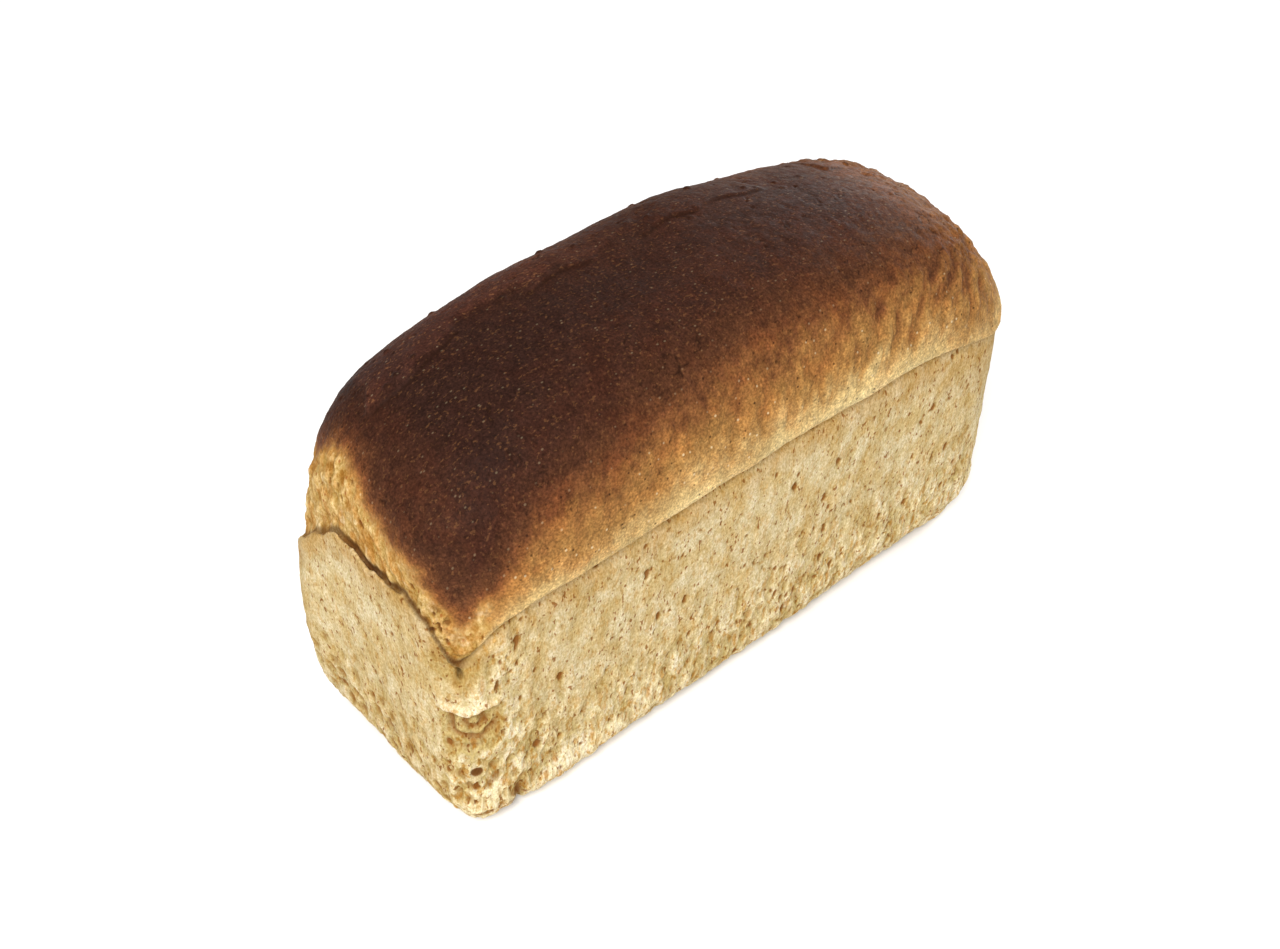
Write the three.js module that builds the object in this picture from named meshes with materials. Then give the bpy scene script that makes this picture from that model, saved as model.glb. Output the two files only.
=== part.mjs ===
// A whole, unsliced tin loaf. The tin gives the lower body flat, nearly upright sides with rounded edges.
// Above the tin's rim the dough has risen into a domed crust, which overhangs the sides along a crease.
// Millimetres, +Z up. The loaf rests on Z = 0, centred on the origin, with its length along X. Its steeper
// end is at -X, and its sloping end at +X.
import * as THREE from "three";

// Overall size: the length over the tin-shaped body, and the width over the crust.
const LENGTH = 250;
const WIDTH = 96;
const HEIGHT = 155;

// The body that the tin shaped.
const SIDE_OVERHANG = 1.5; // how far the crust stands out over each long wall
const END_SETBACK = 1.5; // how far the crust stands back from each end wall
const WALL_TAPER = 1.5; // how much further in the wall is at the bottom than at the crease
const BOTTOM_EDGE_RADIUS = 16.5;

// The crease runs round the loaf where the crust leaves the tin, and sinks at the corners.
const CREASE_HEIGHT = 103;
const CREASE_DEPTH = 2;
const CREASE_ROLL = 6; // height over which the wall rolls in to the crease
const CORNER_DROP = 28;
const CORNER_TIGHTNESS = 6; // a high power keeps the drop close to the corners

// The crust is widest at the lip. It closes over the top as a flattened dome.
const LIP_HEIGHT = 107;
const DOME_SHARPNESS = 0.48; // half is round like an ellipse

// How square each outline is, seen from above: 2 is an ellipse, and a high power has a tight corner.
const TIN_SHAPE = { steepEnd: 19, slopingEnd: 19, steepSide: 7, slopingSide: 7 };
const RIM_SHAPE = { steepEnd: 12, slopingEnd: 10, steepSide: 7, slopingSide: 6 };
const TOP_SHAPE = { steepEnd: 3.7, slopingEnd: 2, steepSide: 3, slopingSide: 2.4 };
const TOP_BLEND = 0.4; // a low power reaches the top's shape soon above the lip

// How the dome falls away from its crest towards each end and towards the sides, as powers again.
const STEEP_END_FALL = 4;
const SLOPING_END_FALL = 2.2;
const SIDE_FALL = 3.8;

// How finely the surface is divided.
const QUARTER_POINTS = 22;
const EDGE_LEVELS = 5;
const WALL_LEVELS = 6;
const ROLL_LEVELS = 3;
const LIP_LEVELS = 5;
const DOME_LEVELS = 14;

/** A quarter of a squared ellipse, from (along, 0) round the corner to (0, across). */
class QuarterOutline extends THREE.Curve {
  constructor(along, across, endPower, sidePower) {
    super();
    Object.assign(this, { along, across, endPower, sidePower });
  }

  getPoint(t, target = new THREE.Vector2()) {
    if (t < 0.5) {
      const y = 2 * t * 0.5 ** (1 / this.sidePower);
      return target.set(this.along * (1 - y ** this.sidePower) ** (1 / this.endPower), this.across * y);
    }
    const x = (2 - 2 * t) * 0.5 ** (1 / this.endPower);
    return target.set(this.along * x, this.across * (1 - x ** this.endPower) ** (1 / this.sidePower));
  }
}

const TIN_END = LENGTH / 2;
const TIN_SIDE = WIDTH / 2 - SIDE_OVERHANG;
const CRUST_END = LENGTH / 2 - END_SETBACK;
const CRUST_SIDE = WIDTH / 2;

/** A horizontal section of the tin-shaped body, inset from the straight wall. */
function tinLevel(height, inset) {
  const rise = height / CREASE_HEIGHT;
  const reduction = inset + WALL_TAPER * (1 - rise);
  return {
    height,
    steep: TIN_END - reduction,
    sloping: TIN_END - reduction,
    side: TIN_SIDE - reduction,
    shape: blendShape(TIN_SHAPE, RIM_SHAPE, rise),
    drop: rise ** 2,
  };
}

/** A section of the crust's rounded lower edge, from the crease at 0 to the widest line at 1. */
function lipLevel(fraction) {
  const angle = (fraction * Math.PI) / 2;
  const out = Math.sin(angle);
  const end = THREE.MathUtils.lerp(TIN_END - CREASE_DEPTH, CRUST_END, out);
  return {
    height: THREE.MathUtils.lerp(LIP_HEIGHT, CREASE_HEIGHT, Math.cos(angle)),
    steep: end,
    sloping: end,
    side: THREE.MathUtils.lerp(TIN_SIDE - CREASE_DEPTH, CRUST_SIDE, out),
    shape: RIM_SHAPE,
    drop: 1,
  };
}

/** A section of the dome, from the lip at 0 towards the crest at 1. */
function domeLevel(rise) {
  const spread = 1 - rise ** (1 / DOME_SHARPNESS);
  return {
    height: THREE.MathUtils.lerp(LIP_HEIGHT, HEIGHT, rise),
    steep: CRUST_END * spread ** (1 / STEEP_END_FALL),
    sloping: CRUST_END * spread ** (1 / SLOPING_END_FALL),
    side: CRUST_SIDE * spread ** (1 / SIDE_FALL),
    shape: blendShape(RIM_SHAPE, TOP_SHAPE, rise ** TOP_BLEND),
    drop: (1 - rise) ** 2,
  };
}

function blendShape(from, to, fraction) {
  return Object.fromEntries(
    Object.keys(from).map((key) => [key, THREE.MathUtils.lerp(from[key], to[key], fraction)]),
  );
}

/** The sections in order, from the flat underside to just below the crest. */
function loafLevels() {
  const levels = [];
  for (let i = 0; i <= EDGE_LEVELS; i++) {
    const angle = ((i / EDGE_LEVELS) * Math.PI) / 2;
    const inset = BOTTOM_EDGE_RADIUS * (1 - Math.sin(angle));
    levels.push(tinLevel(BOTTOM_EDGE_RADIUS * (1 - Math.cos(angle)), inset));
  }
  const rollStart = CREASE_HEIGHT - CREASE_ROLL;
  for (let i = 1; i <= WALL_LEVELS; i++) {
    levels.push(tinLevel(THREE.MathUtils.lerp(BOTTOM_EDGE_RADIUS, rollStart, i / WALL_LEVELS), 0));
  }
  for (let i = 1; i <= ROLL_LEVELS; i++) {
    const fraction = i / ROLL_LEVELS;
    levels.push(tinLevel(rollStart + CREASE_ROLL * fraction, CREASE_DEPTH * fraction ** 3));
  }
  for (let i = 1; i <= LIP_LEVELS; i++) {
    levels.push(lipLevel(i / LIP_LEVELS));
  }
  for (let i = 1; i < DOME_LEVELS; i++) {
    levels.push(domeLevel(Math.sin(((i / DOME_LEVELS) * Math.PI) / 2)));
  }
  return levels;
}

/** The points of one section, counter-clockwise from above, starting on +X. */
function sectionPoints({ height, steep, sloping, side, shape, drop }) {
  const slopingQuarter = new QuarterOutline(sloping, side, shape.slopingEnd, shape.slopingSide);
  const steepQuarter = new QuarterOutline(steep, side, shape.steepEnd, shape.steepSide);
  const towardsSlope = slopingQuarter.getSpacedPoints(QUARTER_POINTS);
  const towardsSteep = steepQuarter.getSpacedPoints(QUARTER_POINTS);
  const quarters = [
    towardsSlope,
    towardsSteep.toReversed().map((p) => new THREE.Vector2(-p.x, p.y)),
    towardsSteep.map((p) => new THREE.Vector2(-p.x, -p.y)),
    towardsSlope.toReversed().map((p) => new THREE.Vector2(p.x, -p.y)),
  ];
  return quarters.flatMap((quarter) => quarter.slice(0, -1)).map(({ x, y }) => {
    const alongShare = Math.abs(x) / (x < 0 ? steep : sloping);
    const cornerShare = (alongShare * Math.abs(y)) / side;
    return new THREE.Vector3(x, y, height - CORNER_DROP * drop * cornerShare ** CORNER_TIGHTNESS);
  });
}

/** One closed skin through the sections, with a flat bottom and a crest point. */
function loafGeometry() {
  const levels = loafLevels();
  const around = 4 * QUARTER_POINTS;
  const points = levels.flatMap(sectionPoints);
  const bottomCentre = points.push(new THREE.Vector3(0, 0, 0)) - 1;
  const crest = points.push(new THREE.Vector3(0, 0, HEIGHT)) - 1;
  const lastStart = (levels.length - 1) * around;
  const triangles = [];
  for (let j = 0; j < around; j++) {
    const next = (j + 1) % around;
    triangles.push(bottomCentre, next, j);
    triangles.push(crest, lastStart + j, lastStart + next);
    for (let start = 0; start < lastStart; start += around) {
      const above = start + around;
      triangles.push(start + j, start + next, above + next);
      triangles.push(start + j, above + next, above + j);
    }
  }
  const geometry = new THREE.BufferGeometry().setFromPoints(points);
  geometry.setIndex(triangles);
  geometry.computeVertexNormals();
  return geometry;
}

const crust = new THREE.MeshStandardMaterial({ color: 0xa9713c, roughness: 0.75, metalness: 0 });

const loaf = new THREE.Mesh(loafGeometry(), crust);
loaf.name = "loaf";

const tinLoaf = new THREE.Group();
tinLoaf.add(loaf);

export default tinLoaf;
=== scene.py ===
# The look of a whole wholemeal tin loaf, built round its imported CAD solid.
# Shape code works in millimetres in the CAD frame: +Z up, the length along X, the steep end at -X, and
# the front at -Y. The near corner is the steep end's front corner. Blender gets metres.
import math

import bpy
import numpy as np
from mathutils import Matrix, Vector, noise


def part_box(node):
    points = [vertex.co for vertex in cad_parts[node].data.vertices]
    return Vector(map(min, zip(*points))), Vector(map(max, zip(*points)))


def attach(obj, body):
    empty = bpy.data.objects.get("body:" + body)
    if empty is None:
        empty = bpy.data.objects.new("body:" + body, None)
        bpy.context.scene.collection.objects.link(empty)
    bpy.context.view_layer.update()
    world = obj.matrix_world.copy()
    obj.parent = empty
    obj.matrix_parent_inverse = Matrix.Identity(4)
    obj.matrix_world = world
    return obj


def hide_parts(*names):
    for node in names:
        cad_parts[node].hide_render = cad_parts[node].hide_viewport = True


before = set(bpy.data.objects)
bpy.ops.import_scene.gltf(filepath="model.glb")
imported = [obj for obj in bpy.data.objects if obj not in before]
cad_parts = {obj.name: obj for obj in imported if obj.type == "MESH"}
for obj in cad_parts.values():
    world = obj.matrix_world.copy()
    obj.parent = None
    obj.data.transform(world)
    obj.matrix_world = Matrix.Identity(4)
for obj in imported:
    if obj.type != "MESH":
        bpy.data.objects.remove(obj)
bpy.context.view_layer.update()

MM = 0.001
LOW, HIGH = (np.array(corner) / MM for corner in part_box("loaf"))
LENGTH, WIDTH, HEIGHT = HIGH - LOW

# The tin-shaped body and the crust that stands over it.
SIDE_OVERHANG = 1.5  # how far the crust stands out over each long wall
END_SETBACK = 1.5  # how far the crust stands back from each end wall
TIN_END = LENGTH / 2
TIN_SIDE = WIDTH / 2 - SIDE_OVERHANG
CRUST_END = TIN_END - END_SETBACK
CRUST_SIDE = WIDTH / 2
BOTTOM_EDGE = (13.5, 20.0)  # radius along the long sides, and on the steep end
WALL_TAPER = 1.5  # how much further in the wall is at the bottom than at the crease

# The crease, where the crust leaves the tin. Every pair is (long sides, steep end). On the long sides the
# wall rolls in under a rounded lip. On the steep end the crust has torn away, so the wall ends in a thin
# edge, with an open groove behind it and bare crumb above.
CREASE = 103.0
CORNER_DROP = 28.0  # how far the crease sinks at each corner
BACK_CORNER_DROP = 20.0  # how much further it sinks at the steep end's back corner
NEAR_POINT_DROP = 15.0  # how far it dips in a narrow point at the near corner
NEAR_POINT = (-118.5, -42.0)
EDGE_ROLL = (8.0, 1.4)  # height over which the wall's top edge rolls in
EDGE_INSET = (4.4, 0.9)
GROOVE_WIDTH = (0.3, 1.3)
GROOVE_DEPTH = (0.2, 3.4)
LIP_SET = (-1.0, 0.5)  # how far the lip stands in from the crust's outline
LIP_RISE = (4.8, 8.0)

# Outlines seen from above: powers for the steep end, the sloping end, and the sides next to each.
TIN_SHAPE = np.array([19.0, 19.0, 7.0, 7.0])
RIM_SHAPE = np.array([12.0, 10.0, 7.0, 6.0])
TOP_SHAPE = np.array([3.7, 2.0, 3.0, 2.4])
DOME_SHARPNESS = 0.48  # half is round like an ellipse
STEEP_FALL, SLOPE_FALL, SIDE_FALL = 4.0, 2.2, 3.8  # powers of the dome's fall from its crest

# Single marks: where each one is.
PINCHED_TIP = (-121.0, -44.0, 84.0)
SLIT = (-118.6, -41.4, 80.5)
FOLD_HEIGHT = 62.3  # a fold of dough runs round the near corner at this height
RING_CENTRE = 57.0  # height of the middle of the rings under the fold
RING_SPACING = 5.4
BURNT_SPOT = (-115.7, -42.8, 33.1)
NOTCH = (-100.5, -45.5, 8.0)
BURST_BUBBLE = (-102.0, -13.3, 142.0)

# How finely the surface is divided.
QUARTER_POINTS = 130  # on each quarter of a ring
VOXEL = 0.66  # width of the final mesh's squares


def ease(low, high, value):
    """0 below low, 1 above high, and a smooth step between. high may be below low."""
    t = np.clip((value - low) / (high - low), 0, 1)
    return t * t * (3 - 2 * t)


def bump(value, centre, reach):
    """1 at the centre, fading to nearly 0 at twice the reach."""
    return np.exp(-((value - centre) / reach) ** 2)


def blob(points, centre, reach):
    """A round or oval bump in space: reach has one size for each axis."""
    return np.exp(-(((points - np.array(centre)) / np.array(reach)) ** 2).sum(axis=1))


def fractal(points, size, seed, octaves=3, stretch=(1, 1, 1)):
    """Smooth noise of about -1 to 1, with features of that size, longer along each axis by stretch."""
    places = points / (size * np.array(stretch)) + 17.3 * seed
    return np.array([noise.fractal(p, 1.0, 2.0, octaves) for p in places.tolist()])


def cells(points, size, seed, stretch=(1, 1, 1)):
    """Scattered cells: the distance to the nearest centre as a share of size, and a number per cell."""
    places = points / (size * np.array(stretch)) + 11.7 * seed
    nearest = [noise.voronoi(p) for p in places.tolist()]
    distance = np.array([found[0][0] for found in nearest])
    centres = np.array([found[1][0] for found in nearest])
    chance = np.abs(np.sin(centres @ np.array([12.99, 78.23, 37.72])) * 43758.5) % 1
    return distance, chance


# ---- The overall form ----


def squared_quarter(along, across, end_power, side_power):
    """Evenly spaced points from (along, 0) round the corner to (0, across)."""
    y = np.linspace(0, 0.5 ** (1 / side_power), 200)
    x = np.linspace(0.5 ** (1 / end_power), 0, 200)
    curve_x = along * np.r_[(1 - y**side_power) ** (1 / end_power), x[1:]]
    curve_y = across * np.r_[y, (1 - x[1:] ** end_power) ** (1 / side_power)]
    run = np.r_[0, np.cumsum(np.hypot(np.diff(curve_x), np.diff(curve_y)))]
    stops = np.linspace(0, run[-1], QUARTER_POINTS + 1)
    return np.c_[np.interp(stops, run, curve_x), np.interp(stops, run, curve_y)]


def outline(steep, slope, side, shape):
    """One closed outline, counter-clockwise from +X."""
    sloping = squared_quarter(slope, side, shape[1], shape[3])
    steeper = squared_quarter(steep, side, shape[0], shape[2])
    quarters = (sloping, steeper[::-1] * (-1, 1), steeper * (-1, -1), sloping[::-1] * (1, -1))
    return np.concatenate([quarter[:-1] for quarter in quarters])


def outward(points):
    """Unit normals of a closed outline."""
    along = np.roll(points, -1, axis=0) - np.roll(points, 1, axis=0)
    normals = np.c_[along[:, 1], -along[:, 0]]
    return normals / np.linalg.norm(normals, axis=1, keepdims=True)


def crease_height(x, y):
    """The crease sinks at every corner. At the near corner it dips to a narrow point."""
    near_quarter = ease(-60, -95, x) * ease(10, -20, y)
    corner = np.clip(np.abs(x) / TIN_END * np.abs(y) / TIN_SIDE, 0, 1) ** 6 * (1 - 0.75 * near_quarter)
    back = ease(8, 42, y) * ease(-88, -118, x)
    point = bump(np.hypot(x - NEAR_POINT[0], y - NEAR_POINT[1]), 0, 8)
    sink = CORNER_DROP * corner + BACK_CORNER_DROP * back + NEAR_POINT_DROP * point
    torn = ease(-105, -119, x)
    waver = 0.4 * np.sin(0.055 * x + 1) + 0.2 * np.sin(0.13 * x) - 1.0 - 1.6 * ease(40, -80, x)
    ragged = 0.8 * np.sin(0.21 * y) + 0.7 * np.sin(0.53 * y + 1) + 0.3 * np.sin(1.3 * y)
    return CREASE - sink + waver * (1 - torn) + ragged * torn


def ring(steep, slope, side, shape, inset, height, drop):
    """One section of the form. inset and height are (smooth sides, torn end) pairs."""
    flat = outline(steep, slope, side, shape)
    normals = outward(flat)
    torn = ease(0.35, 0.85, -normals[:, 0])
    inset, height = (pair[0] + (pair[1] - pair[0]) * torn for pair in (inset, height))
    flat = flat - normals * inset[:, None]
    sink = CREASE - crease_height(flat[:, 0], flat[:, 1])
    return np.c_[flat, height - sink * drop]


def tin_ring(height, inset):
    rise = np.clip(np.mean(height) / CREASE, 0, 1)
    shape = TIN_SHAPE + (RIM_SHAPE - TIN_SHAPE) * rise
    taper = WALL_TAPER * (1 - rise)
    return ring(TIN_END - taper, TIN_END - taper, TIN_SIDE - taper, shape, inset, height, rise**2)


def quarter_turn(steps):
    """Pairs of sine and cosine, from (0, 1) to (1, 0)."""
    return [(math.sin(angle), math.cos(angle)) for angle in np.linspace(0, math.pi / 2, steps)]


def wall_rings():
    """From the flat bottom, round the bottom edge and up to where the top edge starts to roll in."""
    radius, roll = np.array(BOTTOM_EDGE), np.array(EDGE_ROLL)
    rings = [tin_ring(radius * (1 - cosine), radius * (1 - sine)) for sine, cosine in quarter_turn(12)]
    top = CREASE - roll
    rings += [tin_ring(radius + (top - radius) * share, (0, 0)) for share in np.linspace(0, 1, 60)[1:]]
    return rings


def crease_rings():
    """The wall's top edge, the groove behind it, and the crust's underside out to the lip."""
    roll, edge = np.array(EDGE_ROLL), np.array(EDGE_INSET)
    width, depth = np.array(GROOVE_WIDTH), np.array(GROOVE_DEPTH)
    lip, rise = np.array(LIP_SET), np.array(LIP_RISE)
    rings = []
    for sine, cosine in quarter_turn(9)[1:]:
        rings.append(tin_ring(CREASE - roll * (1 - sine), edge * (1 - cosine)))
    for angle in np.linspace(0, math.pi, 14)[1:]:
        across = (1 - math.cos(angle)) / 2
        rings.append(tin_ring(CREASE - depth * math.sin(angle), edge + width * across))
    inner = edge + width
    for sine, cosine in quarter_turn(14)[1:]:
        end = TIN_END + (CRUST_END - TIN_END) * sine
        side = TIN_SIDE + (CRUST_SIDE - TIN_SIDE) * sine
        height = CREASE + rise * (1 - cosine)
        rings.append(ring(end, end, side, RIM_SHAPE, inner + (lip - inner) * sine, height, 1))
    return rings


def dome_rings():
    lip, lip_height = np.array(LIP_SET), CREASE + np.array(LIP_RISE)
    rings = []
    for rise in np.sin(np.linspace(0, math.pi / 2, 90))[1:-1]:
        spread = 1 - rise ** (1 / DOME_SHARPNESS)
        shape = RIM_SHAPE + (TOP_SHAPE - RIM_SHAPE) * rise**0.4
        steep, slope = CRUST_END * spread ** (1 / STEEP_FALL), CRUST_END * spread ** (1 / SLOPE_FALL)
        side = CRUST_SIDE * spread ** (1 / SIDE_FALL)
        inset = lip * (1 - ease(0.05, 0.7, rise))
        height = lip_height + (HEIGHT - lip_height) * rise
        rings.append(ring(steep, slope, side, shape, inset, height, (1 - rise) ** 2))
    return rings


def skin(rings):
    """A closed mesh through the rings, in metres."""
    around = len(rings[0])
    faces = [list(range(around))[::-1]]
    for row in range(len(rings) - 1):
        first = row * around
        for j in range(around):
            after = (j + 1) % around
            faces.append((first + j, first + after, first + around + after, first + around + j))
    last = (len(rings) - 1) * around
    faces.append([last + j for j in range(around)])
    mesh = bpy.data.meshes.new("form")
    mesh.from_pydata((np.concatenate(rings) * MM).tolist(), [], faces)
    return mesh


def even_mesh(mesh):
    """The same shape as even small quads, so that fine relief has vertices everywhere."""
    source = bpy.data.objects.new("form", mesh)
    bpy.context.scene.collection.objects.link(source)
    remesh = source.modifiers.new("even", "REMESH")
    remesh.mode = "VOXEL"
    remesh.voxel_size = VOXEL * MM
    evaluated = source.evaluated_get(bpy.context.evaluated_depsgraph_get())
    even = bpy.data.meshes.new_from_object(evaluated)
    bpy.data.objects.remove(source)
    bpy.data.meshes.remove(mesh)
    even.name = "loaf_crust"
    return even


def read(mesh, field):
    values = np.empty(len(mesh.vertices) * 3, np.float32)
    mesh.vertices.foreach_get(field, values)
    return values.reshape(-1, 3).astype(float)


# ---- Relief ----


def behind_end_wall(x, y):
    """How far a point is in from the outside of the steep end's wall, along X."""
    across = np.clip(np.abs(y) / TIN_SIDE, 0, 0.999)
    return x + TIN_END * (1 - across ** RIM_SHAPE[2]) ** (1 / RIM_SHAPE[0])


def zones(points, normals):
    """How far each point is above the crease, and how much it is bare crumb, tin wall and groove."""
    x, y, z = points.T
    above = z - crease_height(x, y)
    end_face = ease(0.3, 0.7, -normals[:, 0]) * ease(-70, -100, x)
    behind_edge = ease(0.7, 1.4, behind_end_wall(x, y)) * ease(-108, -114, x) * ease(44, 40, np.abs(y))
    groove = behind_edge * ease(-5.6, -4.2, above) * ease(2.0, 0.2, above)
    border = torn_border(points)
    crumb = end_face * ease(-0.5, 0.8, above) * ease(border, border - 6, above)
    pulled = blob(points, (-117, -43, 91), (8, 6, 7)) * ease(-0.5, 0.8, above)
    crumb = np.maximum(np.maximum(crumb, groove), ease(0.35, 0.7, pulled))
    wall = ease(0.8, -0.4, above) * (1 - groove)
    return above, crumb, wall, groove


def torn_border(points):
    """Height above the crease at which the torn crumb of the steep end gives way to crust."""
    y = points[:, 1]
    return 24 + 0.4 * np.minimum(y, 22) + 9 * ease(-24, -42, y) + 3 * fractal(points, 9, 1)


def warped(points, size, amount, seed):
    """The points pushed about sideways by smooth noise, so that cells in them get uneven shapes."""
    push = [amount * fractal(points, size, seed + number, 2) for number in (0.1, 0.2)]
    return points + np.c_[push[0], push[1], np.zeros(len(points))]


def coarseness(points):
    """The crumb that lay against the tin is coarser near the bottom and near the steep end's corners."""
    x, y, z = points.T
    corner = ease(-80, -112, x) * ease(34, 42, np.abs(y))
    low = ease(70, 12, z) * (1 - 0.5 * ease(-119, -123, x))
    return np.clip(0.85 * low + 0.6 * corner, 0, 1)


def wall_relief(points):
    """Gas-cell pits and strands, both drawn out upwards. The skin is calm round the burnt spot."""
    x, z = points[:, 0], points[:, 2]
    coarse = coarseness(points)
    uneven = warped(points, 2.5, 0.8, 2)
    small, small_chance = cells(uneven, 3.1, 2, (1, 1, 2.1))
    large, large_chance = cells(uneven, 6.4, 3, (1, 1, 2.0))
    small_pit = ease(0.3, 0.12, small) * ease(0.6, 0.7, small_chance + 0.25 * coarse)
    large_pit = ease(0.24, 0.08, large) * ease(0.62, 0.7, large_chance + 0.3 * coarse)
    large_pit *= 1 - 0.65 * ease(-119, -123, x)
    strands = fractal(uneven, 3.6, 4, 4, (1, 1, 2.8))
    corner = ease(58, 24, z) * ease(-84, -108, x)
    window, _ = cells(points, 4.6, 5, (1, 1, 1.3))
    windows = ease(0.62, 0.2, window) * corner
    calm = ease(3.2, 5.0, np.linalg.norm(points - BURNT_SPOT, axis=1))
    depth = (0.24 + 0.66 * coarse) * strands - (0.4 + 0.45 * coarse) * small_pit
    depth -= 1.1 * large_pit + 0.9 * windows
    return depth * calm, np.clip(0.7 * small_pit + large_pit + 0.5 * windows, 0, 1) * calm


def crumb_relief(points):
    """Torn crumb: strands pulled upwards, with open holes between them, most of them near the corner."""
    strands = fractal(points, 3.0, 6, 4, (1, 1, 1.7))
    hole, chance = cells(warped(points, 2.5, 0.8, 7), 3.4, 7, (1, 1, 1.3))
    open_hole = ease(0.36, 0.12, hole) * ease(0.55, 0.67, chance)
    near_corner = blob(points, (-122, -34, 101), (6, 7, 6))
    small_hole, _ = cells(points, 2.6, 22)
    holes = np.maximum(open_hole, ease(0.4, 0.2, small_hole) * near_corner)
    return 0.8 * strands - 1.5 * holes, holes


def drawn_up(points):
    """Coordinates in which the wrinkles of the dome's side run straight up."""
    x, y, z = points.T
    return np.c_[x - 0.22 * z + 5 * fractal(points, 34, 8, 1), y, z]


def wrinkles(points, above):
    """How much the dome's side is wrinkled there, and the wrinkles themselves, of about -1 to 1."""
    drawn = ease(6, 18, above) * ease(46, 26, above) * (0.6 + 0.4 * ease(-70, 10, points[:, 0]))
    return drawn, fractal(drawn_up(points), 6, 9, 3, (1, 1, 4.0))


def crust_relief(points, above):
    """Smooth baked skin, drawn into wrinkles above the lip, with small pits."""
    drawn, wrinkle = wrinkles(points, above)
    dimple, chance = cells(points, 4.5, 10)
    pit = ease(0.18, 0.07, dimple) * ease(0.55, 0.65, chance)
    waves = 0.16 * fractal(points, 6, 11) + 0.09 * fractal(points, 2.0, 12, 2)
    return (0.9 + 0.5 * ease(-10, 20, points[:, 0])) * drawn * wrinkle + waves - 0.5 * pit, pit


def lifted_skin(points, above):
    """How far a point is behind the edge of the lifted skin, and how much the skin is lifted there."""
    behind = points[:, 1] - 14 - 5 * fractal(points, 24, 13, 3, (1.2, 6, 6))
    patches = ease(-0.06, 0.02, fractal(points, 30, 14, 2, (1.5, 1, 1))) * ease(35, 42, above)
    return behind, patches


def thin_skin_and_sheen(points, above):
    """How pale the lifted skin is where it is thin, which is only towards the steep end. The paleness is
    partly the thin skin's own colour and partly a painted sheen.
    """
    behind, patches = lifted_skin(points, above)
    return patches * ease(0, 4, behind + 3 * fractal(points, 3, 25, 3)) * ease(10, -60, points[:, 0])


def blister_relief(points, above):
    """Thin skin lifted in long flakes along the back of the crest, small scabs, and a few fine cracks."""
    behind, patches = lifted_skin(points, above)
    step = ease(-0.5, 0.5, behind) * ease(20, 6, behind) * patches
    upper = ease(20, 32, above)
    crack = bump(fractal(points, 17, 15, 3), 0.2, 0.013) * ease(0.04, 0.16, fractal(points, 14, 16, 1))
    crack *= upper
    distance, chance = cells(points, 7, 26)
    scab = ease(0.26, 0.1, distance) * ease(0.7, 0.78, chance) * ease(6, 16, points[:, 1]) * upper
    rim = np.maximum(np.maximum(0.85 * bump(behind, -0.5, 0.5) * patches, crack), 0.7 * scab)
    return 0.8 * step - 0.25 * crack + 0.7 * scab, rim


def from_line(points, start, end):
    """Distance of each point from the line between two points."""
    start, along = np.array(start), np.subtract(end, start)
    share = np.clip((points - start) @ along / (along @ along), 0, 1)
    return np.linalg.norm(points - start - np.outer(share, along), axis=1)


def crust_marks(points):
    """A small burst bubble near the steep end, and two fine cracks beside it."""
    uneven = points + 1.2 * fractal(points, 5, 23, 3)[:, None]
    cracks = from_line(uneven, (-102, -13, 142), (-116, -7, 131))
    cracks = np.minimum(cracks, from_line(uneven, (-110, 10, 140), (-94, 2, 146)))
    return np.maximum(0.75 * ease(0.55, 0.2, cracks), blob(uneven, BURST_BUBBLE, (1.5, 2.0, 2.2)))


def pinched_corner(points):
    """The near corner is pinched in under the crease's point, with a short open slit in it."""
    slit = blob(points, SLIT, (0.9, 1.2, 2.6))
    return -2.4 * blob(points, PINCHED_TIP, (6, 7, 6)) - 2.4 * slit, slit


def folded_corner(points):
    """Lower down, a thick fold runs round the near corner, over a hollow with raised rings. Also gives
    painted shade for the hollow and under the fold.
    """
    x, y, z = points.T
    across = (x + 115) * 0.8 - (y + 43) * 0.5
    over = z - FOLD_HEIGHT - 0.02 * across**2 - 0.5 * np.sin(0.8 * across)
    width = ease(11, 7, np.abs(across + 1.5)) * ease(-34, -38, y) * ease(-101, -105, x)
    hollow = width * ease(0.5, -0.5, over) * ease(-23, -12, over)
    reach = np.hypot(across, z - RING_CENTRE) + 1.4 * fractal(points, 5, 24, 2)
    rings = np.cos(2 * math.pi * reach / RING_SPACING)
    relief = 1.3 * width * bump(over, 1.8, 1.6) - hollow * (2.2 - 0.6 * rings)
    # The second value is painted shade: darker in the hollow, less so on its rings, and a painted shadow
    # just under the fold.
    return relief, hollow * (0.34 - 0.22 * rings) + 0.9 * width * bump(over, -1.0, 0.9)


def notched_edge(points):
    """The front bottom edge has a notch near the corner, and is swollen on both sides of it."""
    notch = blob(points, NOTCH, (1.6, 12, 10))
    swollen = 0.6 * blob(points, (-112.8, -43.5, 12), (9, 9, 11))
    swollen += 1.6 * blob(points, (-82, -45.5, 8), (20, 9, 8))
    return swollen - 3.8 * notch, notch


def corner_features(points):
    """The relief of the near corner, how dark it is, and how brown it is. The dark is painted shade in the
    slit, and the burnt spot. The brown is painted shade in the fold's hollow and under the fold, the notch,
    and the burnt spot.
    """
    pinch, slit = pinched_corner(points)
    fold, fold_shade = folded_corner(points)
    edge, notch = notched_edge(points)
    spot = ease(2.6, 1.4, np.linalg.norm(points - BURNT_SPOT, axis=1))
    # Painted shade in the slit, and the burnt spot's own dark colour.
    dark = np.clip(0.9 * slit + 0.55 * spot, 0, 1)
    return pinch + fold + edge - 0.35 * spot, dark, fold_shade + 0.75 * notch + spot


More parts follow.
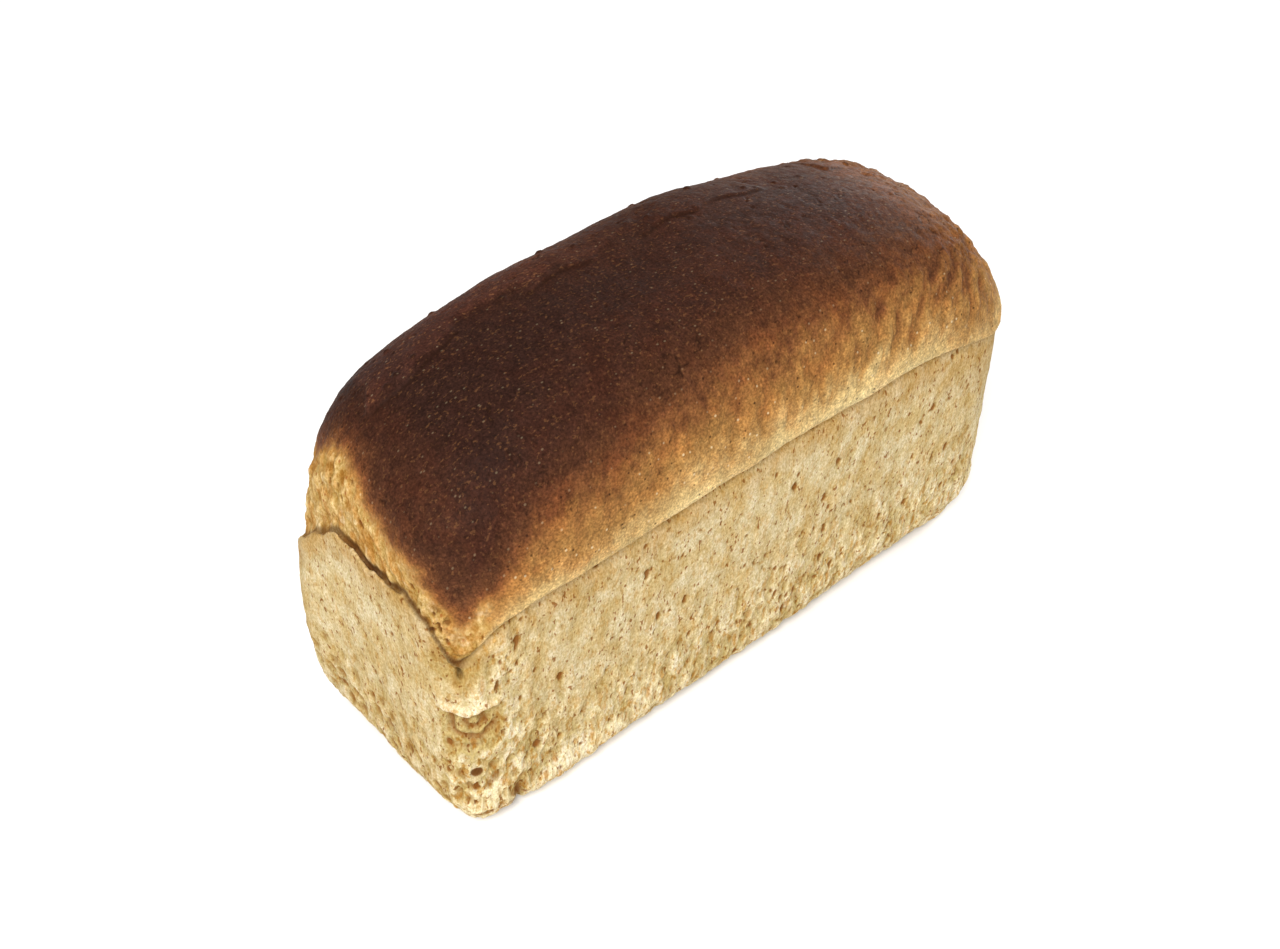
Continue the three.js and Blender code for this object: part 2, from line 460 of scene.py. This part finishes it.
def bakedness(points, above):
    """0 is pale skin just above the crease, about 0.45 is brown, and 1 is the darkest crust."""
    x, y = points[:, 0], points[:, 1]
    inward = np.clip(CRUST_SIDE - np.abs(y), 0, None)
    run = above + 0.5 * inward * ease(20, 45, above)
    browning = 11 + 32 * (1 - np.exp(-np.clip(x + 114, 0, None) / 34))
    steps = run / (browning * (1 - 0.2 * ease(70, 122, x)))
    steps += 0.12 * fractal(points, 28, 16) + 0.07 * fractal(points, 6, 17)
    drawn, wrinkle = wrinkles(points, above)
    steps -= (0.2 + 0.24 * ease(-20, 20, x)) * np.minimum(wrinkle, 0.3) * drawn
    steps += 0.16 * ease(50, 110, x) * ease(0, 8, above)
    border = torn_border(points)
    end_face = ease(-105, -112, x)
    steps = steps * (1 - end_face) + end_face * (0.1 + 1.35 * ease(border - 14, border + 12, above))
    # The darkest crust is held paler towards the sloping end, partly as less baked crust and partly as a
    # painted sheen, and held paler at the steep end too.
    steps = np.minimum(steps, 2.2 - 1.3 * ease(25, 105, x) - 0.75 * ease(-90, -113, x))
    return np.clip(steps / 2.2, 0, 1)


def toasting(points, above):
    """How tan the top of the wall is, just under the crease."""
    reach = 9 + 16 * ease(40, 110, points[:, 0]) + 4 * fractal(points, 18, 18, 2)
    return ease(-reach - 8, -2, above) * (0.65 + 0.35 * fractal(points, 9, 19, 2))


def limited(mask, relief, *arrays):
    """Works out a relief and its marks only where the mask says that they count."""
    needed = mask > 0.01
    depth, mark = np.zeros(len(mask)), np.zeros(len(mask))
    depth[needed], mark[needed] = relief(*(values[needed] for values in arrays))
    return depth * mask, mark * mask


def settled(points):
    """How the loaf is out of true. The crust sank and drew in towards both ends, the front bottom edge
    rises towards the sloping end, and the steep end's wall flares out at the back."""
    x, y, z = points.T
    above = z - crease_height(x, y)
    shift = np.zeros_like(points)
    top = ease(118, 145, z) * ease(-10, 25, y)
    sunk = 2.3 * ease(-40, -80, x) + 0.8 * bump(x, -18, 18) + 3.6 * ease(10, 60, x) * ease(122, 95, x)
    shift[:, 2] -= top * sunk
    shift[:, 0] -= 4.2 * ease(85, 118, x) * bump(z, 121, 15)
    shift[:, 0] += 1.2 * ease(0, 26, y) * ease(-108, -118, x) * ease(0.5, 4, above)
    shift[:, 2] += 4.0 * ease(20, 80, x) * ease(1, 8, z) * ease(30, 12, z) * ease(-30, -42, y)
    flare = blob(points, (-125, 32, 48), (8, 13, 30)) * ease(1, -1, above)
    return shift + np.outer(flare, (-3.5, 1.2, 0))


def seam_shade(points, above):
    """A thin line of painted shade along the crease, where crust and wall meet on the front half of the
    steep end.
    """
    return bump(above, 0.2, 0.6) * ease(-100, -116, points[:, 0]) * ease(-12, -20, points[:, 1])


def place(mesh, points, moved):
    """Moves the vertices from points to moved, and keeps the underside nearly flat, with its lowest at 0."""
    moved[:, 2] = np.where(points[:, 2] < 0.5, np.maximum(moved[:, 2] * 0.5, 0), moved[:, 2])
    moved[:, 2] -= moved[:, 2].min()
    mesh.vertices.foreach_set("co", (moved * MM).astype(np.float32).ravel())
    mesh.shade_smooth()
    mesh.update()


def store(mesh, layers):
    """Gives every vertex a number for each of the named layers, which the material reads."""
    for name, values in layers.items():
        layer = mesh.attributes.new(name, "FLOAT", "POINT")
        layer.data.foreach_set("value", values.astype(np.float32))


def detailed(mesh):
    """Moves the vertices into the loaf's relief, and stores what the material needs to know."""
    points, normals = read(mesh, "co") / MM, read(mesh, "normal")
    above, crumb, wall, groove = zones(points, normals)
    crust = (1 - crumb) * (1 - wall)
    wall_depth, wall_pit = limited(wall, wall_relief, points)
    crumb_depth, crumb_pit = limited(crumb, crumb_relief, points)
    crust_depth, crust_pit = limited(crust, crust_relief, points, above)
    blister, rim = limited(crust, blister_relief, points, above)
    corner, corner_dark, corner_shade = corner_features(points)
    fine = wall_depth + crumb_depth + corner
    swell = 0.5 * fractal(points, 55, 20, 2) + 0.35 * fractal(points, 16, 21, 2)
    relief = (swell + fine + crust_depth + blister) * (1 - 0.8 * groove)
    # The dark layer: the crust's own burnt spot, marks, pits and flake rims, with painted shade in the near
    # corner's slit and along the seam.
    dark = corner_dark + crust * crust_marks(points) + 0.8 * crust_pit + rim + 0.75 * seam_shade(points, above)
    place(mesh, points, points + normals * relief[:, None] + settled(points))
    store(mesh, {
        "bake": bakedness(points, above),
        "crumb": crumb,
        "wall": wall,
        "toast": wall * toasting(points, above),
        # pit: the wall's pits and the crumb's holes, plus painted shade in the fold's hollow and under the
        # fold, the darker notch, and the burnt spot
        "pit": np.clip(wall_pit + crumb_pit + corner_shade, 0, 1),
        "coarse": coarseness(points),
        # height: the fine relief, which the material turns into painted shade in hollows and painted light
        # on rises
        "height": np.clip(0.5 + fine / 3, 0, 1),
        "dark": np.clip(dark, 0, 1),
        # raised: paler thin lifted skin, partly its own colour and partly a painted sheen
        "raised": crust * thin_skin_and_sheen(points, above),
        # groove: painted shade inside the groove behind the steep end's wall
        "groove": groove * (0.65 + 0.35 * bump(points[:, 1], -5, 15)),
    })


# ---- Material ----

STUDIO = 1.25  # how bright the studio is: a surface looks this much brighter than its own colour


def tone(red, green, blue):
    """The base colour of something that looks like this, 0 to 255, under the studio's lights."""
    shares = (value / 255 for value in (red, green, blue))
    linear = (s / 12.92 if s <= 0.04045 else ((s + 0.055) / 1.055) ** 2.4 for s in shares)
    return (*(value / STUDIO for value in linear), 1)


class Nodes:
    """Short calls for building one material's node tree."""

    def __init__(self, name):
        self.material = bpy.data.materials.new(name)
        self.material.use_nodes = True
        self.tree = self.material.node_tree
        self.shader = self.tree.nodes["Principled BSDF"]
        self.coordinates = self.tree.nodes.new("ShaderNodeTexCoord").outputs["Object"]

    def node(self, kind, inputs, **settings):
        made = self.tree.nodes.new("ShaderNode" + kind)
        for key, value in settings.items():
            setattr(made, key, value)
        for key, value in inputs.items():
            if isinstance(value, bpy.types.NodeSocket):
                self.tree.links.new(value, made.inputs[key])
            else:
                made.inputs[key].default_value = value
        return made

    def layer(self, name):
        return self.node("Attribute", {}, attribute_name=name).outputs["Fac"]

    def places(self, size, stretch):
        scale = [1 / (size * MM * s) for s in stretch]
        return self.node("Mapping", {"Vector": self.coordinates, "Scale": scale}).outputs["Vector"]

    def noise(self, size, detail=3.0, stretch=(1, 1, 1), roughness=0.55):
        """Noise of 0 to 1 with features of that size in mm."""
        inputs = {"Vector": self.places(size, stretch), "Detail": detail, "Roughness": roughness}
        return self.node("TexNoise", {"Scale": 1.0, **inputs}).outputs[0]

    def cells(self, size, stretch=(1, 1, 1)):
        """Distance to the nearest of scattered points, and a random colour for each."""
        made = self.node("TexVoronoi", {"Vector": self.places(size, stretch), "Scale": 1.0})
        return made.outputs["Distance"], made.outputs["Color"]

    def web(self, size, stretch=(1, 1, 1)):
        """0 on the borders between scattered cells, rising towards their middles."""
        inputs = {"Vector": self.places(size, stretch), "Scale": 1.0}
        return self.node("TexVoronoi", inputs, feature="DISTANCE_TO_EDGE").outputs["Distance"]

    def math(self, operation, first, second=0.0, clamp=False):
        return self.node("Math", {0: first, 1: second}, operation=operation, use_clamp=clamp).outputs[0]

    def between(self, value, low, high, start=0.0, end=1.0):
        """start at low, end at high, smooth between."""
        inputs = {"Value": value, "From Min": low, "From Max": high, "To Min": start, "To Max": end}
        made = self.node("MapRange", inputs, interpolation_type="SMOOTHSTEP")
        return made.outputs["Result"]

    def mix(self, share, first, second, blend="MIX"):
        made = self.node("Mix", {0: share, 6: first, 7: second}, data_type="RGBA", blend_type=blend)
        return made.outputs[2]

    def tint(self, colour, mask, share, other):
        """Puts share of the other colour over the first, where the mask is 1."""
        return self.mix(self.math("MULTIPLY", mask, share), colour, other)

    def scaled(self, colour, mask, share, factor):
        """Multiplies share of the colour by the factor, where the mask is 1."""
        return self.tint(colour, mask, share, self.mix(1.0, colour, (*factor, 1), "MULTIPLY"))

    def shade(self, colour, value, low, high):
        """Multiplies the colour by low to high as the noise goes from 0.3 to 0.7."""
        return self.mix(1.0, colour, self.between(value, 0.3, 0.7, low, high), "MULTIPLY")

    def warm(self, colour, value, depth=0.3):
        """Where the value is low, the colour is deeper and more golden. Where it is high, it is paler."""
        deep = (1 - depth, 1 - 1.3 * depth, 1 - 2 * depth, 1)
        light = self.mix(self.between(value, 0.3, 0.7), deep, (1.13, 1.13, 1.16, 1))
        return self.mix(1.0, colour, light, "MULTIPLY")

    def flecks(self, size, stretch, rarity, radius):
        """A mask of small scattered marks. rarity is the share of cells without one."""
        distance, colour = self.cells(size, stretch)
        number = self.node("SeparateColor", {"Color": colour}).outputs[0]
        mark = self.between(distance, radius, radius * 0.4)
        return self.math("MULTIPLY", mark, self.between(number, rarity, rarity + 0.08))

    def ramp(self, value, stops):
        made = self.node("ValToRGB", {"Fac": value})
        elements = made.color_ramp.elements
        for position, colour in stops[1:-1]:
            elements.new(position).color = colour
        elements[0].position, elements[0].color = stops[0]
        elements[len(stops) - 1].position, elements[len(stops) - 1].color = stops[-1]
        return made.outputs["Color"]


CREAM, TAN = tone(240, 229, 198), tone(224, 200, 148)
PALE_SKIN = tone(236, 226, 198)
STRAND = tone(250, 238, 194)
CELL_GOLD, STREAK_GOLD = tone(202, 150, 76), tone(207, 162, 84)
TOASTED = tone(200, 156, 84)
WALL_BRAN, WALL_PIT_AND_SHADE = tone(150, 94, 38), tone(140, 84, 34)
CRUMB_GOLD, CRUMB_PALE, CRUMB_HIGHLIGHT = tone(204, 154, 86), tone(228, 198, 138), tone(246, 232, 200)
CRUMB_BRAN, CRUMB_HOLE = tone(160, 92, 38), tone(112, 64, 28)
PALE_BRAN, BROWN_BRAN, DARK_BRAN = tone(232, 206, 162), tone(164, 112, 68), tone(44, 24, 15)
BURNT_AND_SHADE, GROOVE_SHADE = tone(42, 23, 14), tone(86, 48, 22)

# The crust's colour as it is more and more baked. The first stop, the lip's pale skin, is made paler still
# as painted light for the floor's bounce under the lip.
CRUST_STOPS = [
    (0.0, tone(232, 208, 151)),
    (0.08, tone(209, 178, 119)),
    (0.16, tone(182, 140, 83)),
    (0.24, tone(163, 118, 64)),
    (0.32, tone(149, 103, 56)),
    (0.39, tone(129, 84, 46)),
    (0.46, tone(107, 65, 38)),
    (0.55, tone(82, 49, 31)),
    (0.69, tone(63, 36, 25)),
    (0.92, tone(51, 30, 23)),
]


def crust_colour(n):
    """From pale tan to nearly black as it is more baked, mottled, and strewn with bran."""
    bake = n.layer("bake")
    wander = n.between(n.noise(2.6, 4.0, (1, 1, 1.8), 0.6), 0.25, 0.75, -0.04, 0.04)
    wander = n.math("MULTIPLY", wander, n.between(bake, 0.03, 0.25))
    colour = n.ramp(n.math("ADD", bake, wander), CRUST_STOPS)
    colour = n.scaled(colour, n.between(n.noise(11.0, 3.0), 0.42, 0.66), 0.3, (1.3, 0.97, 0.8))
    colour = n.shade(colour, n.noise(4.0, 3.0), 0.85, 1.15)
    colour = n.shade(colour, n.noise(0.8, 3.0), 0.67, 1.28)
    colour = n.scaled(colour, n.between(n.noise(0.9, 3.0, (1, 1, 1.5)), 0.56, 0.66), 0.7, (1.5, 1.5, 1.5))
    dashes = n.between(n.noise(1.1, 3.0, (1.3, 0.9, 1.5)), 0.57, 0.69)
    colour = n.tint(colour, dashes, n.between(bake, 0.2, 0.45, 0.0, 0.21), BROWN_BRAN)
    pale = n.between(bake, 0.5, 0.2, 0.12, 0.8)
    colour = n.tint(colour, n.flecks(1.9, (1.5, 1, 1.7), 0.62, 0.2), pale, PALE_BRAN)
    colour = n.tint(colour, n.flecks(2.6, (1, 1, 1), 0.66, 0.22), 0.75, DARK_BRAN)
    # Thin lifted skin made paler: partly its own colour, partly a painted sheen.
    return n.scaled(colour, n.layer("raised"), 0.6, (2.1, 2.0, 2.1))


def wall_colour(n):
    """Cream and tan patches. Where the crumb is coarse, pale strands run round golden cells. Hollows get
    painted shade and rises painted light.
    """
    coarse = n.layer("coarse")
    patches = n.between(n.noise(9.0, 4.0, (1, 1, 1.3)), 0.35, 0.67)
    colour = n.mix(patches, TAN, CREAM)
    edge = n.web(2.8, (1, 1, 2.7))
    hearts = n.between(n.math("MULTIPLY", edge, n.noise(5.0, 2.0)), 0.11, 0.22)
    colour = n.tint(colour, hearts, n.between(coarse, 0.1, 1, 0.0, 0.8), CELL_GOLD)
    strands = n.between(edge, 0.14, 0.03)
    colour = n.tint(colour, strands, n.between(coarse, 0, 1, 0.25, 0.8), STRAND)
    colour = n.tint(colour, n.between(n.noise(2.8, 3.0, (1, 1, 2.2)), 0.55, 0.68), 0.35, PALE_SKIN)
    streaks = n.between(n.noise(1.9, 4.0, (1, 1, 2.0), 0.6), 0.48, 0.37)
    colour = n.tint(colour, streaks, n.between(coarse, 0, 1, 0.45, 0.85), STREAK_GOLD)
    colour = n.tint(colour, n.layer("toast"), 0.75, TOASTED)
    colour = n.warm(colour, n.noise(0.75, 3.0, (1, 1, 1.5), 0.65), 0.24)
    colour = n.tint(colour, n.between(n.noise(1.3, 1.0, (1, 1, 2.0)), 0.64, 0.71), 0.85, WALL_BRAN)
    # The relief's height paints shade into hollows and light onto rises.
    colour = n.warm(colour, n.layer("height"))
    # Brown in the pits, and painted shade in the near corner's fold and hollow.
    return n.tint(colour, n.between(n.layer("pit"), 0.15, 0.7), 0.88, WALL_PIT_AND_SHADE)


def crumb_colour(n):
    """Golden torn crumb, with paler patches, whitish painted highlights and brown bran. Hollows get painted
    shade and rises painted light.
    """
    patches = n.between(n.noise(4.5, 4.0, (1, 1, 1.6), 0.6), 0.36, 0.62)
    colour = n.mix(patches, CRUMB_GOLD, CRUMB_PALE)
    # Whitish patches: painted highlights on the crumb.
    colour = n.tint(colour, n.between(n.noise(6.0, 3.0), 0.58, 0.68), 0.35, CRUMB_HIGHLIGHT)
    colour = n.warm(colour, n.noise(0.9, 3.0, (1, 1, 1.4), 0.65), 0.32)
    # The relief's height paints shade into hollows and light onto rises.
    colour = n.warm(colour, n.layer("height"))
    colour = n.tint(colour, n.flecks(1.9, (1, 1, 1.4), 0.6, 0.32), 0.8, CRUMB_BRAN)
    return n.tint(colour, n.between(n.layer("pit"), 0.1, 0.7), 0.85, CRUMB_HOLE)


def fine_height(n):
    """The relief too fine for the mesh, in mm."""
    skin_grain = n.math("MULTIPLY", n.noise(0.9, 4.0), 0.16)
    crumb_grain = n.math("MULTIPLY", n.noise(1.0, 4.0, (1, 1, 1.8), 0.7), 0.62)
    web = n.between(n.web(2.8, (1, 1, 2.7)), 0.0, 0.3, 0.25, 0.0)
    web = n.math("MULTIPLY", web, n.between(n.layer("coarse"), 0.2, 0.9))
    rough = n.math("MAXIMUM", n.layer("wall"), n.layer("crumb"))
    grain = n.math("ADD", crumb_grain, web)
    blend = n.math("MULTIPLY", n.math("SUBTRACT", grain, skin_grain), rough)
    return n.math("ADD", skin_grain, blend)


def crust_material():
    """Crust, wall and bare crumb in one material, blended by the mesh's layers."""
    n = Nodes("loaf_crust")
    colour = n.mix(n.layer("wall"), crust_colour(n), wall_colour(n))
    colour = n.mix(n.layer("crumb"), colour, crumb_colour(n))
    # Burnt crust and marks, with painted shade in the slit and along the seam.
    colour = n.tint(colour, n.layer("dark"), 0.9, BURNT_AND_SHADE)
    # Painted shade inside the groove behind the steep end's wall.
    colour = n.tint(colour, n.layer("groove"), 0.9, GROOVE_SHADE)
    n.tree.links.new(colour, n.shader.inputs["Base Color"])
    rough = n.math("MAXIMUM", n.layer("wall"), n.layer("crumb"))
    skin_rough = n.between(n.noise(2.0, 3.0), 0.3, 0.7, 0.52, 0.7)
    gloss = n.math("ADD", skin_rough, n.math("MULTIPLY", rough, 0.26), clamp=True)
    n.tree.links.new(gloss, n.shader.inputs["Roughness"])
    height = n.node("Bump", {"Height": fine_height(n), "Strength": 1.0, "Distance": MM})
    n.tree.links.new(height.outputs["Normal"], n.shader.inputs["Normal"])
    n.shader.inputs["Specular IOR Level"].default_value = 0.035
    return n.material


def build_loaf():
    mesh = even_mesh(skin(wall_rings() + crease_rings() + dome_rings()))
    detailed(mesh)
    loaf = bpy.data.objects.new("loaf_crust", mesh)
    bpy.context.scene.collection.objects.link(loaf)
    mesh.materials.clear()
    mesh.materials.append(crust_material())
    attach(loaf, "root")
    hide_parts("loaf")


# ---- Stage, lights and camera ----

LOAF_MIDDLE = (0, 0, 0.07)


def plain_material(name, colour, roughness):
    material = bpy.data.materials.new(name)
    material.use_nodes = True
    shader = material.node_tree.nodes["Principled BSDF"]
    shader.inputs["Base Color"].default_value = colour
    shader.inputs["Roughness"].default_value = roughness
    return material


def build_floor():
    mesh = bpy.data.meshes.new("floor")
    half = 4.0
    corners = [(-half, -half, 0), (half, -half, 0), (half, half, 0), (-half, half, 0)]
    mesh.from_pydata(corners, [], [(0, 1, 2, 3)])
    mesh.materials.append(plain_material("floor_paint", (0.9, 0.9, 0.9, 1), 0.8))
    floor = bpy.data.objects.new("floor", mesh)
    bpy.context.scene.collection.objects.link(floor)


def aim(spot, target):
    """A rotation that points -Z from spot at target."""
    return (Vector(target) - Vector(spot)).to_track_quat("-Z", "Y").to_euler()


def area_light(name, spot, size, power):
    light = bpy.data.lights.new(name, "AREA")
    light.shape = "DISK"
    light.size = size
    light.energy = power
    lamp = bpy.data.objects.new(name, light)
    lamp.location = spot
    lamp.rotation_euler = aim(spot, LOAF_MIDDLE)
    bpy.context.scene.collection.objects.link(lamp)


def build_lights():
    area_light("key", (-0.92, -0.76, 1.5), 0.8, 41)
    area_light("back", (1.25, 0.5, 0.25), 0.9, 14)
    world = bpy.data.worlds.new("studio")
    world.use_nodes = True
    background = world.node_tree.nodes["Background"]
    background.inputs["Color"].default_value = (1, 1, 1, 1)
    background.inputs["Strength"].default_value = 0.48
    bpy.context.scene.world = world
    bpy.context.scene.view_settings.view_transform = "Standard"


def build_camera():
    """Looks down at the loaf from in front of its near corner."""
    azimuth, elevation, roll = (math.radians(angle) for angle in (-41.96, 43.92, 1.63))
    distance = 0.6213
    target = Vector((-0.0071, 0.006, 0.0593))
    level = math.cos(elevation)
    back = Vector((math.sin(azimuth) * level, -math.cos(azimuth) * level, math.sin(elevation)))
    right = Vector((0, 0, 1)).cross(back).normalized()
    turn = Matrix((right, back.cross(right), back)).transposed() @ Matrix.Rotation(roll, 3, "Z")
    data = bpy.data.cameras.new("camera")
    data.lens = 50.6
    data.sensor_width = 36.0
    data.sensor_fit = "HORIZONTAL"
    camera = bpy.data.objects.new("camera", data)
    camera.matrix_world = Matrix.Translation(target + back * distance) @ turn.to_4x4()
    bpy.context.scene.collection.objects.link(camera)
    bpy.context.scene.camera = camera


build_camera()
build_loaf()
build_floor()
build_lights()
